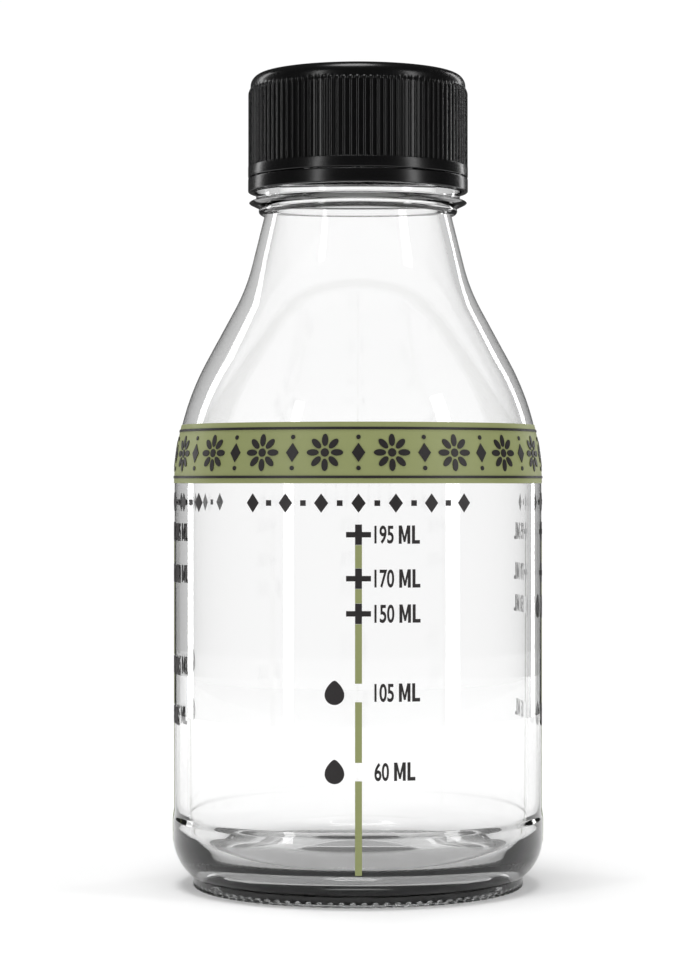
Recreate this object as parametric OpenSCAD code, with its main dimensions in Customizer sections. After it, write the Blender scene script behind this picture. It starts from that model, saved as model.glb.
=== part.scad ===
// Shaker bottle for salad dressing: a clear glass bottle with a printed fill gauge, a ribbed screw cap
// with a liner disc, and the tamper ring that stays on the neck. Millimetres, +Z up, foot on Z = 0,
// the main gauge faces -Y.

/* [Body] */
// Outside diameter of the label panel
body_d = 69; // [66:0.5:72]
// Height of the glass from the table to the sealing lip
bottle_h = 149.8; // [148:0.1:152]
// Thickness of the glass wall
wall = 2.45; // [2.2:0.05:2.7]
// Drop from the lip to where the straight body turns into the shoulder
shoulder_drop = 75.3; // [73.8:0.5:76.8]
// Radius of the round shoulder
shoulder_r = 50; // [47:1:53]
// Steepest lean of the shoulder from upright, in degrees
shoulder_lean = 28.5; // [27.5:0.5:29.5]
// Radius of the hollow curve between shoulder and neck
neck_curve_r = 36; // [32:1:40]
// Lean of the neck from upright, in degrees
neck_lean = 14; // [13:0.5:15]

/* [Heel and foot] */
// Radius of the round heel
heel_r = 8.8; // [8:0.1:9.4]
// How far the contact band above the heel stands out from the label panel
contact_step = 0.25; // [0.1:0.05:0.4]
// Height of the contact band
contact_h = 4.5; // [3:0.5:6]
// How far the foot ring is set in from the contact band
foot_inset = 3.75; // [3:0.05:4.4]
// Height of the foot ring
foot_h = 1.9; // [1.6:0.1:2.4]
// Width of the flat bearing face under the foot
bearing_w = 2.6; // [2:0.1:3.2]
// Rise of the hollow under the base
punt_rise = 3.8; // [3:0.1:4.2]
// Height of the inside floor at its edge
floor_z = 4.95; // [4.6:0.05:5.8]
// Rise of the inside floor at its centre
floor_rise = 2.8; // [2:0.1:3.4]
// Number of knurls round the foot
knurl_count = 96; // [72:6:120]
// Depth of the knurls
knurl_depth = 0.4; // [0.3:0.05:0.6]
// Height of the knurls
knurl_h = 0.8; // [0.5:0.05:1.2]

/* [Neck finish] */
// Diameter of the neck wall behind the thread
finish_d = 35.1; // [34.8:0.1:35.4]
// Thickness of the neck wall at the mouth
neck_wall = 2.75; // [2.45:0.05:3.15]
// Height of the glass thread above the neck wall
thread_depth = 1.1; // [0.95:0.05:1.2]
// Rise of the thread in one turn
thread_pitch = 4.233; // [4.1:0.001:4.4]
// Turns of the glass thread
thread_turns = 1.5; // [1.25:0.05:1.6]
// Width of the glass thread at its root
thread_w = 2; // [1.8:0.05:2.1]
// Drop from the lip to the upper end of the thread
thread_lead = 2.9; // [2.8:0.1:3.4]
// Drop from the lower end of the thread to the tamper bead
thread_to_bead = 5.9; // [5.6:0.1:6.5]
// Reach of the tamper bead out of the neck wall
bead_reach = 1.55; // [1.4:0.05:1.6]
// Height of the tamper bead
bead_h = 1.4; // [1.2:0.1:1.6]
// Height of the recess under the tamper bead
recess_h = 2.4; // [2.3:0.1:2.7]
// Reach of the collar out of the neck wall
collar_reach = 1.65; // [1.5:0.05:1.75]
// Height of the collar
collar_h = 2.2; // [2:0.1:2.5]
// Reach of the transfer bead out of the collar
transfer_reach = 1.3; // [1:0.05:1.4]
// Height of the transfer bead
transfer_h = 1.2; // [1:0.1:1.4]
// Reach of the lower bead out of the neck wall
lower_bead_reach = 1.15; // [0.9:0.05:1.4]
// Height of the lower bead
lower_bead_h = 1.5; // [1.2:0.1:1.8]

/* [Cap] */
// Thickness of the skirt over the tamper bead
cap_wall = 1.25; // [1.2:0.05:1.55]
// Thickness of the top plate
cap_top_t = 1.5; // [1.3:0.1:2]
// Radius of the rounding round the top
cap_round = 2.2; // [1.8:0.1:2.4]
// Number of ribs
rib_count = 102; // [90:2:114]
// Depth of the grooves between the ribs
rib_depth = 0.45; // [0.35:0.05:0.5]
// Height of the plain band under the ribs
plain_h = 2.1; // [1.6:0.1:2.6]
// Width of the cap thread at its root
cap_thread_w = 1.5; // [1.3:0.05:1.6]
// Turns of the cap thread
cap_thread_turns = 1.25; // [1:0.05:1.3]

/* [Liner] */
// Thickness of the liner disc
liner_t = 1; // [0.8:0.1:1.2]

/* [Tamper ring] */
// Height of the tamper ring
ring_h = 2.5; // [2.2:0.1:2.7]
// Height of the broken seam between the tamper ring and the cap
seam_h = 0.2; // [0.15:0.05:0.3]
// Gap between the transfer bead and the tamper ring
ring_drop = 1.55; // [1.3:0.05:1.7]
// Number of flaps that catch under the tamper bead
flap_count = 12; // [8:1:16]
// Thickness of a flap
flap_t = 0.45; // [0.35:0.05:0.55]
// Number of broken bridges on the upper edge
bridge_count = 16; // [8:1:20]

/* [Print] */
// Rise of the printed band above the foot of the shoulder
band_rise = 1; // [0.5:0.1:1.5]
// Height of the printed band
band_h = 10.9; // [10:0.1:12]
// Width of the gauge line
line_w = 1.22; // [1:0.02:1.4]
// Lower end of the gauge line
line_low_z = 6.3; // [5.5:0.1:8]
// Drop from the printed band to the top gauge level
level_drop = 9.06; // [8:0.02:10]
// Length of the bar of a gauge cross
cross_w = 4.4; // [4:0.1:5.5]
// Height of a gauge cross
cross_h = 3.6; // [3:0.1:4]
// Width of a gauge drop
drop_w = 3.5; // [3:0.1:4]
// Height of a gauge drop
drop_h = 4.3; // [4:0.1:5]
// Thickness of the printed ink
ink_t = 0.1; // [0.08:0.01:0.14]

/* [Hidden] */
$fn = 96;

// Clearance between the glass and the closure, and between the liner and the cap
run_gap = 0.35;
liner_gap = 0.4;
// Gap between neighbouring layers of ink and glass
skin_gap = 0.03;
// Overlap that joins the pieces of a union, and how far a tooth's crest stays under the band beside it
bite = 0.3;
crest_inset = 0.05;
// Gauge columns: angle round the axis, levels at the crosses and at the drops, and half the angle that the
// heading rule takes. A level is the volume under it in millilitres where top_level holds that many too;
// in a wider or narrower body the levels keep their shares of the volume under the top one
top_level = 195;
columns = [
    [-90, [195, 170, 150], [105, 60], 33],
    [180, [195, 170], [115, 85], 36],
    [0, [195, 170], [150, 85], 16],
];

// Radii of the neck finish
finish_r = finish_d / 2;
thread_r = finish_r + thread_depth;
bead_r = finish_r + bead_reach;
collar_r = finish_r + collar_reach;
transfer_r = collar_r + transfer_reach;
lower_bead_r = finish_r + lower_bead_reach;
bore_r = finish_r - neck_wall;
lip_round = 0.55;

// Heights of the neck finish, stacked down from the lip
lip_z = bottle_h;
thread_top_z = lip_z - thread_lead;
thread_low_z = thread_top_z - thread_turns * thread_pitch;
bead_top_z = thread_low_z - thread_to_bead;
bead_low_z = bead_top_z - bead_h;
collar_top_z = bead_low_z - recess_h;
collar_low_z = collar_top_z - collar_h;
transfer_low_z = collar_low_z - transfer_h;
neck_z = transfer_low_z - lower_bead_h;

// Radii and heights of the body
shoulder_z = lip_z - shoulder_drop;
body_r = body_d / 2;
contact_r = body_r + contact_step;
contact_ease = 1;
foot_r = contact_r - foot_inset;
knurl_r = foot_r - knurl_depth;
bearing_r = knurl_r - bearing_w;
heel_x = contact_r - heel_r;
foot_angle = -acos((foot_r - heel_x) / heel_r);
heel_z = foot_h - heel_r * sin(foot_angle);
contact_top_z = heel_z + contact_h;
inner_r = body_r - wall;
inner_heel_r = heel_r - wall;
inner_heel_x = inner_r - inner_heel_r;

// The straight stretch above the shoulder is as long as brings the next one out at the neck
neck_rise = neck_z - shoulder_z - shoulder_r * sin(shoulder_lean)
    - neck_curve_r * (sin(shoulder_lean) - sin(neck_lean));
neck_narrowing = body_r - finish_r - shoulder_r * (1 - cos(shoulder_lean))
    - neck_curve_r * (cos(neck_lean) - cos(shoulder_lean));
shoulder_run = (neck_narrowing * cos(neck_lean) - neck_rise * sin(neck_lean))
    / sin(shoulder_lean - neck_lean);

// Centre of the hollow curve
curve_x = body_r - shoulder_r * (1 - cos(shoulder_lean)) - shoulder_run * sin(shoulder_lean)
    + neck_curve_r * cos(shoulder_lean);
curve_z = shoulder_z + shoulder_r * sin(shoulder_lean) + shoulder_run * cos(shoulder_lean)
    + neck_curve_r * sin(shoulder_lean);

// Radii and heights of the closure
cap_bore_r = thread_r + run_gap;
skirt_bore_r = bead_r + run_gap;
cap_r = skirt_bore_r + cap_wall;
rib_root_r = cap_r - rib_depth;
ring_bore_r = collar_r + run_gap;
cap_thread_r = finish_r + run_gap;
liner_r = cap_bore_r - liner_gap;
catch_reach = 0.7;
cap_thread_start = -60;
plate_z = lip_z + liner_t;
cap_top_z = plate_z + cap_top_t;
ring_z = collar_low_z + ring_drop;
ring_top_z = ring_z + ring_h;
rim_z = ring_top_z + seam_h;
rib_low_z = rim_z + plain_h;
rib_chamfer = 0.5;
rib_top_z = cap_top_z - cap_round - rib_chamfer;
edge_round = 0.25;

// Shapes of the print
band_z = shoulder_z + band_rise;
cross_bar_h = 0.97;
line_gap_h = 3.25;
drop_x = -4.25;
rosette_count = 18;
rosette_r = 3.3;
petal_count = 8;
lozenge_h = 3.4;
border_h = 0.45;
border_inset = 0.9;
heading_z = band_z - 3.5;
heading_h = 3.4;
heading_step = 5.5;

// Points of an arc about (x, z) with radius r, from angle a to angle b
function arc(x, z, r, a, b, n = 12) =
    [for (i = [0:n]) let (t = a + (b - a) * i / n) [x + r * cos(t), z + r * sin(t)]];

// The same points from the last to the first
function turned(p) = [for (i = [len(p) - 1:-1:0]) p[i]];

// The end of the wall at the neck, and the wall from the label panel to there, moved inwards by d
function neck_point(d) = [finish_r - d / cos(neck_lean), neck_z];
function wall_path(d) = concat(
    arc(body_r - shoulder_r, shoulder_z, shoulder_r - d, 0, shoulder_lean),
    arc(curve_x, curve_z, neck_curve_r + d, 180 + shoulder_lean, 180 + neck_lean),
    [neck_point(d)]);

// The heel and the contact band, moved inwards by d
function heel_path(d) = concat(
    arc(heel_x, heel_z, heel_r - d, foot_angle, 0),
    [[contact_r - d, contact_top_z - contact_ease], [body_r - d, contact_top_z]]);

// The inside floor, from the axis out to the wall
function floor_path() = concat(
    [for (i = [0:8]) [inner_heel_x * i / 8, floor_z + floor_rise * (1 + cos(180 * i / 8)) / 2]],
    arc(inner_heel_x, floor_z + inner_heel_r, inner_heel_r, -80, 0, 8));

// The hollow under the base, from the axis out to the bearing face
punt_r = (bearing_r * bearing_r + punt_rise * punt_rise) / (2 * punt_rise);
punt_path = arc(0, punt_rise - punt_r, punt_r, 90, 90 - asin(bearing_r / punt_r), 8);

// The neck finish, from the neck up to the lip
finish_path = concat(
    arc(lower_bead_r - lower_bead_h / 2, neck_z + lower_bead_h / 2, lower_bead_h / 2, -90, 90, 8),
    [[collar_r, transfer_low_z], [transfer_r, transfer_low_z + transfer_h * 0.6]],
    [[collar_r, collar_low_z], [collar_r, collar_top_z - bite], [collar_r - bite, collar_top_z]],
    [[finish_r, collar_top_z], [finish_r, bead_low_z], [bead_r - bite, bead_low_z]],
    arc(bead_r - bite, bead_low_z + bite, bite, -90, 0, 4),
    [[bead_r, bead_low_z + bead_h / 2], [finish_r, bead_top_z]],
    arc(finish_r - lip_round, lip_z - lip_round, lip_round, 0, 90, 6));

// The mouth, from the lip down to the neck
mouth_path = concat(
    arc(bore_r + lip_round, lip_z - lip_round, lip_round, 90, 180, 6),
    [[bore_r, collar_low_z]]);

// Volume under an inside outline, in millilitres, summed over the cones between its points
function cone_ml(a, b) = PI / 3 * (b[1] - a[1]) * (a[0] * a[0] + a[0] * b[0] + b[0] * b[0]) / 1000;
function path_ml(p, i = 0) = i >= len(p) - 1 ? 0 : cone_ml(p[i], p[i + 1]) + path_ml(p, i + 1);

// Volume under a height in the straight part of the body, in millilitres, and the height of a gauge level
panel_z = floor_z + inner_heel_r;
function ml_under(z) = path_ml(floor_path()) + (z - panel_z) * PI * inner_r * inner_r / 1000;
top_ml = ml_under(band_z - level_drop);
function level_z(level) =
    panel_z + (top_ml * level / top_level - path_ml(floor_path())) * 1000 / (PI * inner_r * inner_r);

// Ridge of a thread as one closed solid, rising from height z at angle a
module thread(root_r, crest_r, w, turns, z, a) {
    span = turns * 360;
    n = ceil(span / 10);
    fade = 30;
    out = crest_r > root_r ? 1 : -1;
    sections = [for (i = [0:n])
        let (t = i * span / n, k = max(0.05, min(1, t / fade, (span - t) / fade)),
            crest = root_r + (crest_r - root_r) * k, root = root_r - out * bite,
            half = w / 2 * (0.4 + 0.6 * k), mid = z + thread_pitch * t / 360)
        [for (p = [[root, mid - half], [crest, mid - half / 2], [crest, mid + half / 2], [root, mid + half]])
            [p[0] * cos(a + t), p[0] * sin(a + t), p[1]]]];
    sides = [for (i = [0:n - 1], j = [0:3])
        let (p = i * 4 + j, q = i * 4 + (j + 1) % 4) each [[p, q, q + 4], [p, q + 4, p + 4]]];
    ends = [[0, 3, 2], [0, 2, 1], [4 * n, 4 * n + 1, 4 * n + 2], [4 * n, 4 * n + 2, 4 * n + 3]];
    faces = concat(sides, ends);
    polyhedron([for (s = sections) each s], out > 0 ? faces : [for (f = faces) turned(f)], convexity = 6);
}

// Ring of teeth whose feet are sunk into a round wall of radius root
module toothed_ring(root, crest, count, h) {
    step = 360 / count;
    foot = root - bite;
    linear_extrude(height = h)
        difference() {
            polygon([for (i = [0:count - 1], p = [[0, foot], [0.25, crest], [0.5, crest], [0.75, foot]])
                let (t = (i + p[0]) * step) [p[1] * cos(t), p[1] * sin(t)]]);
            circle(r = foot - bite);
        }
}

// Layer k of ink over the outside of the glass, from the heel to the shoulder
module ink_layer(k = 1) {
    low = skin_gap + (k - 1) * (ink_t + skin_gap);
    rotate_extrude()
        polygon(concat(
            heel_path(-low), arc(body_r - shoulder_r, shoulder_z, shoulder_r + low, 0, shoulder_lean),
            turned(arc(body_r - shoulder_r, shoulder_z, shoulder_r + low + ink_t, 0, shoulder_lean)),
            turned(heel_path(-low - ink_t))));
}

// Carries a flat outline out through the wall of the body, at an angle round the axis and a height
module stamp(angle, z = 0) {
    reach = 4;
    rotate([0, 0, angle + 90])
        translate([0, reach - body_r, z])
            rotate([90, 0, 0])
                linear_extrude(height = 2 * reach)
                    children();
}

// Part of the printed band between two heights above its lower edge
module band_slab(low, high) {
    translate([0, 0, band_z + low])
        cylinder(r = body_r + 2, h = high - low);
}

// Flat outline of a cross and of its stem alone
module cross_outline() {
    square([cross_w, cross_bar_h], center = true);
    stem_outline(cross_h);
}

module stem_outline(h) {
    square([line_w, h], center = true);
}

// Flat outline of a drop, centred on its height
module drop_outline() {
    r = drop_w / 2;
    tip = drop_h - r;
    lean = acos(r / tip);
    translate([drop_x, r - drop_h / 2]) {
        circle(r = r);
        polygon([[0, 0], [r * sin(lean), r * cos(lean)], [0, tip], [-r * sin(lean), r * cos(lean)]]);
    }
}

// Flat outline of a rosette with round petals
module rosette_outline() {
    difference() {
        union() {
            circle(r = rosette_r * 0.5);
            for (i = [0:petal_count - 1])
                rotate(i * 360 / petal_count)
                    translate([0, rosette_r * 0.68])
                        square([rosette_r * 0.36, rosette_r * 0.64], center = true);
        }
        circle(r = rosette_r * 0.22);
    }
}

// Flat outline of an upright lozenge
module lozenge_outline(w, h) {
    polygon([[-w / 2, 0], [0, -h / 2], [w / 2, 0], [0, h / 2]]);
}

module glass_body() {
    color([0.86, 0.89, 0.88, 0.45]) {
        rotate_extrude()
            polygon(concat(
                punt_path, [[knurl_r, 0], [knurl_r, knurl_h], [foot_r, knurl_h]],
                heel_path(0), wall_path(0), turned(wall_path(wall)), turned(floor_path())));
        toothed_ring(knurl_r, foot_r - crest_inset, knurl_count, knurl_h + bite);
    }
}

// The neck finish is the same glass as the body, and stands on it face to face at the neck
module glass_finish() {
    color([0.86, 0.89, 0.88, 0.45]) {
        rotate_extrude()
            polygon(concat(finish_path, mouth_path, [neck_point(wall)]));
        thread(finish_r, thread_r, thread_w, thread_turns, thread_low_z, 0);
    }
}

module cap_shell() {
    color([0.1, 0.1, 0.1]) {
        rotate_extrude()
            polygon(concat(
                [[0, plate_z], [cap_bore_r, plate_z], [cap_bore_r, lip_z - 0.1]],
                [[cap_bore_r - catch_reach, lip_z - 0.4], [cap_bore_r, lip_z - 0.9]],
                [[cap_bore_r, bead_top_z + 0.8], [skirt_bore_r, bead_top_z + 0.2], [skirt_bore_r, rim_z]],
                arc(cap_r - edge_round, rim_z + edge_round, edge_round, -90, 0, 4),
                [[cap_r, rib_low_z], [rib_root_r, rib_low_z]],
                arc(rib_root_r - cap_round, cap_top_z - cap_round, cap_round, 0, 90, 10),
                [[0, cap_top_z]]));
        intersection() {
            translate([0, 0, rib_low_z - bite])
                toothed_ring(rib_root_r, cap_r - crest_inset, rib_count, rib_top_z - rib_low_z + bite);
            rotate_extrude()
                polygon([[0, rib_low_z - bite], [cap_r + bite, rib_low_z - bite],
                    [cap_r + bite, rib_top_z - rib_chamfer], [cap_r, rib_top_z - rib_chamfer],
                    [cap_r - rib_chamfer - bite, rib_top_z + bite], [0, rib_top_z + bite]]);
        }
        thread(cap_bore_r, cap_thread_r, cap_thread_w, cap_thread_turns,
            thread_low_z - thread_pitch * (1 / 2 - cap_thread_start / 360), cap_thread_start);
    }
}

module cap_liner() {
    color([0.93, 0.93, 0.9])
        translate([0, 0, lip_z])
            cylinder(r = liner_r, h = liner_t);
}

module tamper_ring() {
    flap_low_z = collar_top_z + 0.2;
    flap_top_z = bead_low_z - run_gap;
    flap_in = ring_bore_r - (ring_bore_r - finish_r) * 0.6;
    slot_w = 1.6;
    bridge_w = 0.9;
    bridge_h = seam_h * 0.6;
    bridge_d = 0.6;
    color([0.1, 0.1, 0.1]) {
        rotate_extrude()
            polygon(concat(
                [[ring_bore_r, ring_z]],
                arc(cap_r - edge_round, ring_z + edge_round, edge_round, -90, 0, 4),
                arc(cap_r - edge_round, ring_top_z - edge_round, edge_round, 0, 90, 4),
                [[ring_bore_r, ring_top_z]]));
        difference() {
            rotate_extrude()
                polygon([[ring_bore_r + bite, flap_low_z - bite], [ring_bore_r + bite, flap_low_z + flap_t],
                    [flap_in + flap_t, flap_top_z], [flap_in, flap_top_z], [ring_bore_r, flap_low_z]]);
            for (i = [0:flap_count - 1])
                rotate([0, 0, i * 360 / flap_count])
                    translate([0, -slot_w / 2, flap_low_z - bite])
                        cube([ring_bore_r, slot_w, flap_top_z]);
        }
        for (i = [0:bridge_count - 1])
            rotate([0, 0, i * 360 / bridge_count])
                translate([ring_bore_r + bite, -bridge_w / 2, ring_top_z - bite])
                    cube([bridge_d, bridge_w, bridge_h + bite]);
    }
}

module band_print() {
    color([0.57, 0.6, 0.37])
        intersection() {
            ink_layer();
            band_slab(0, band_h);
        }
}

module band_rosettes() {
    color([0.16, 0.14, 0.14])
        intersection() {
            ink_layer(2);
            union() {
                band_slab(border_inset, border_inset + border_h);
                band_slab(band_h - border_inset - border_h, band_h - border_inset);
                for (i = [0:rosette_count - 1]) {
                    stamp(i * 360 / rosette_count, band_z + band_h / 2)
                        rosette_outline();
                    stamp((i + 0.5) * 360 / rosette_count, band_z + band_h / 2)
                        lozenge_outline(lozenge_h * 0.7, lozenge_h);
                }
            }
        }
}

module gauge_lines() {
    color([0.57, 0.6, 0.37])
        intersection() {
            ink_layer();
            for (c = columns)
                difference() {
                    top_z = level_z(c[1][0]);
                    stamp(c[0], (line_low_z + top_z) / 2)
                        stem_outline(top_z - line_low_z);
                    for (level = c[1])
                        stamp(c[0], level_z(level))
                            square([cross_w, cross_h + 2 * skin_gap], center = true);
                    for (level = c[2])
                        stamp(c[0], level_z(level))
                            square([cross_w, line_gap_h], center = true);
                }
        }
}

module gauge_crosses() {
    color([0.16, 0.14, 0.14])
        intersection() {
            ink_layer();
            for (c = columns, level = c[1])
                stamp(c[0], level_z(level))
                    cross_outline();
        }
}

module gauge_drops() {
    color([0.16, 0.14, 0.14])
        intersection() {
            ink_layer();
            for (c = columns, level = c[2])
                stamp(c[0], level_z(level))
                    drop_outline();
        }
}

module heading_rules() {
    color([0.16, 0.14, 0.14])
        intersection() {
            ink_layer();
            for (c = columns) {
                n = floor(c[3] / heading_step);
                for (i = [-n:n])
                    stamp(c[0] + i * heading_step, heading_z)
                        if ((i + n) % 2 == 0)
                            lozenge_outline(heading_h * 0.75, heading_h);
                        else
                            square([heading_h * 0.3, heading_h * 0.3], center = true);
            }
        }
}

glass_body();
glass_finish();
cap_shell();
cap_liner();
tamper_ring();
band_print();
band_rosettes();
gauge_lines();
gauge_crosses();
gauge_drops();
heading_rules();
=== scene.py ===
import math

import bmesh
import bpy
from bpy.props import FloatProperty, FloatVectorProperty, IntProperty, PointerProperty
from mathutils import Matrix, Vector


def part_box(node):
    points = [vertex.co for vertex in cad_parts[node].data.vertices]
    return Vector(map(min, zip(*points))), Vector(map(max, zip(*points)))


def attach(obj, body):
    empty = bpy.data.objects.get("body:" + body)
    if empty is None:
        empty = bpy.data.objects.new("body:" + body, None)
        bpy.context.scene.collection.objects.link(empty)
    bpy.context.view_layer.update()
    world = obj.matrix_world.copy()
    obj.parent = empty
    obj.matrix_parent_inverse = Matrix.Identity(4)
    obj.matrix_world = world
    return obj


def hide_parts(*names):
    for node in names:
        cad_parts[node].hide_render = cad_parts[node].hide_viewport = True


bl_info = {
    "name": "Dressing Shaker Bottle",
    "version": (1, 0, 0),
    "blender": (4, 5, 0),
    "location": "View3D > Sidebar > Bottle",
    "description": "Clear glass shaker bottle with a printed fill gauge and a ribbed screw cap",
    "category": "Add Mesh",
}

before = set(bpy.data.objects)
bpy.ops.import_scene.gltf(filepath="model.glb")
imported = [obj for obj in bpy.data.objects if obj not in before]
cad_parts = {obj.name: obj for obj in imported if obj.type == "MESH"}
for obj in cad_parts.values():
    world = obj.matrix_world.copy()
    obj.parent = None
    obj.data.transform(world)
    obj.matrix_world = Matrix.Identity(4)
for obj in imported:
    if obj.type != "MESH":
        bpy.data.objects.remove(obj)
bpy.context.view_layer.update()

# Lengths are metres; a size written in millimetres is multiplied by MM
MM = 0.001
RIGHT_ANGLE = math.pi / 2
WHOLE_TURN = 2 * math.pi
# Gap between the plastic and the glass inside it
GAP = 0.35 * MM
GLASS_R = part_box("glass_body")[1].x
LIP_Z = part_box("glass_finish")[1].z
CAP_LOW, CAP_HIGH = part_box("cap_shell")
LINER_LOW, LINER_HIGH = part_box("cap_liner")
RING_LOW, RING_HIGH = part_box("tamper_ring")

# Gauge columns: angle round the axis in degrees, millilitres at the crosses and at the drops, and half
# the angle that the heading rule takes
COLUMNS = (
    (-90, (195, 170, 150), (105, 60), 33),
    (180, (195, 170), (115, 85), 36),
    (0, (195, 170), (150, 85), 16),
)

# Outlines of the unit's letters M and L, anticlockwise, in shares of their height
UNIT = (
    (
        (0, 1),
        (0, 0),
        (0.26, 0),
        (0.26, 0.6),
        (0.44, 0.1),
        (0.6, 0.1),
        (0.78, 0.6),
        (0.78, 0),
        (1.04, 0),
        (1.04, 1),
        (0.76, 1),
        (0.52, 0.38),
        (0.28, 1),
    ),
    ((0, 0), (0.72, 0), (0.72, 0.2), (0.27, 0.2), (0.27, 1), (0, 1)),
)
# The gauge's writing is narrowed to this share of its width
NARROW = 0.62

# Softboxes: place, width and height, and watts
SOFTBOXES = {
    "key_left": ((-0.35, -0.39, 0.17), (0.06, 0.5), 0.7),
    "key_right": ((0.44, -0.27, 0.17), (0.09, 0.5), 0.9),
    "back_left": ((-0.42, 0.3, 0.2), (0.08, 0.5), 0.6),
    "back_right": ((0.35, 0.39, 0.2), (0.06, 0.5), 0.5),
}


def length(name, description, default):
    """A size in metres with its label."""
    return FloatProperty(
        name=name, description=description, default=default, min=0, unit="LENGTH", precision=5
    )


def lean(name, description, degrees):
    """An angle with its label."""
    return FloatProperty(
        name=name, description=description, default=math.radians(degrees), subtype="ANGLE"
    )


def colour(name, description, default):
    """A colour with its label."""
    return FloatVectorProperty(
        name=name, description=description, default=default, size=3, min=0, max=1, subtype="COLOR"
    )


class GlassSettings(bpy.types.PropertyGroup):
    """Sizes of the glass."""

    body_r: length("Body radius", "Radius of the label panel", 34.5 * MM)
    wall: length("Wall", "Thickness of the glass wall", 2.45 * MM)
    shoulder_z: length("Shoulder height", "Where the straight body turns into the shoulder", 74.5 * MM)
    shoulder_r: length("Shoulder radius", "Radius of the round shoulder", 50 * MM)
    shoulder_lean: lean("Shoulder lean", "Steepest lean of the shoulder from upright", 28.5)
    neck_curve_r: length("Neck curve radius", "Radius of the hollow curve under the neck", 36 * MM)
    neck_lean: lean("Neck lean", "Lean of the neck from upright", 14)
    heel_r: length("Heel radius", "Radius of the round heel", 8.8 * MM)
    contact_h: length("Contact band height", "Height of the band above the heel", 4.5 * MM)
    foot_inset: length("Foot inset", "How far the foot is set in from the contact band", 3.75 * MM)
    foot_h: length("Foot height", "Height of the foot ring", 1.9 * MM)
    bearing_w: length("Bearing width", "Width of the flat face under the foot", 2.6 * MM)
    punt_rise: length("Punt rise", "Rise of the hollow under the base", 3.8 * MM)
    floor_z: length("Floor height", "Height of the inside floor at its edge", 4.95 * MM)
    floor_rise: length("Floor rise", "Rise of the inside floor at its centre", 2.8 * MM)
    knurls: IntProperty(name="Knurls", description="Number of knurls round the foot", default=96, min=24)
    knurl_depth: length("Knurl depth", "Depth of the knurls", 0.4 * MM)
    bore_r: length("Bore radius", "Radius of the mouth", 14.8 * MM)
    finish_r: length("Finish radius", "Radius of the neck wall behind the thread", 17.55 * MM)
    thread_depth: length("Thread depth", "Height of the glass thread", 1.1 * MM)
    thread_pitch: length("Thread pitch", "Rise of the thread in one turn", 4.233 * MM)
    thread_w: length("Thread width", "Width of the glass thread", 2 * MM)
    tint: colour("Tint", "What the glass lets through", (0.0, 0.02, 0.01))
    density: FloatProperty(
        name="Density", description="How strongly the glass greys, per metre", default=9, min=0
    )


class CapSettings(bpy.types.PropertyGroup):
    """Sizes and colour of the cap and the tamper ring."""

    round_r: length("Top rounding", "Radius of the rounding round the top", 2.2 * MM)
    plain_h: length("Plain band", "Height of the plain band under the ribs", 2.1 * MM)
    ribs: IntProperty(name="Ribs", description="Number of ribs", default=102, min=12)
    rib_depth: length("Rib depth", "Depth of the grooves between the ribs", 0.45 * MM)
    flaps: IntProperty(name="Flaps", description="Number of flaps in the tamper ring", default=12, min=4)
    bridges: IntProperty(name="Bridges", description="Number of broken bridges", default=16, min=4)
    black: colour("Black", "Colour of the moulded plastic", (0.003, 0.003, 0.0032))
    liner: colour("Liner", "Colour of the foam liner", (0.78, 0.78, 0.75))


class PrintSettings(bpy.types.PropertyGroup):
    """Sizes and colours of the fired print."""

    ink: length("Ink", "Thickness of the ink", 0.1 * MM)
    skin: length("Skin", "Gap between neighbouring layers", 0.03 * MM)
    band_z: length("Band height", "Lower edge of the printed band", 75.5 * MM)
    band_h: length("Band width", "Height of the printed band", 10.9 * MM)
    line_w: length("Line width", "Width of the gauge line", 1.22 * MM)
    line_low_z: length("Line end", "Lower end of the gauge line", 6.3 * MM)
    cross_w: length("Cross width", "Length of a cross's bar", 4.4 * MM)
    cross_h: length("Cross height", "Height of a cross", 3.6 * MM)
    drop_w: length("Drop width", "Width of a drop", 3.5 * MM)
    drop_h: length("Drop height", "Height of a drop", 4.3 * MM)
    digit_h: length("Digit height", "Height of the gauge's numbers", 3.25 * MM)
    green: colour("Green", "Colour of the green ink", (0.25, 0.275, 0.108))
    dark: colour("Dark", "Colour of the dark ink", (0.012, 0.009, 0.0095))


class StageSettings(bpy.types.PropertyGroup):
    """The camera's place and lens."""

    distance: length("Distance", "From the camera to the bottle's axis", 528 * MM)
    eye_z: length("Eye level", "Height of the camera", 75.9 * MM)
    aside: FloatProperty(
        name="Aside", description="Camera's offset to the left", default=1.5 * MM, unit="LENGTH"
    )
    lens: FloatProperty(name="Lens", description="Focal length in millimetres", default=104.8, min=10)


# An outline is a list of (radius, height) from which a piece is turned


def arc(x, z, r, start, end, count=12):
    """Points of an arc about (x, z), from one angle to another in radians."""
    angles = (start + (end - start) * i / count for i in range(count + 1))
    return [(x + r * math.cos(angle), z + r * math.sin(angle)) for angle in angles]


def ladder(x, low, high, step):
    """Points up a straight wall of radius x."""
    count = max(1, round(abs(high - low) / step))
    return [(x, low + (high - low) * i / count) for i in range(count + 1)]


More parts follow.
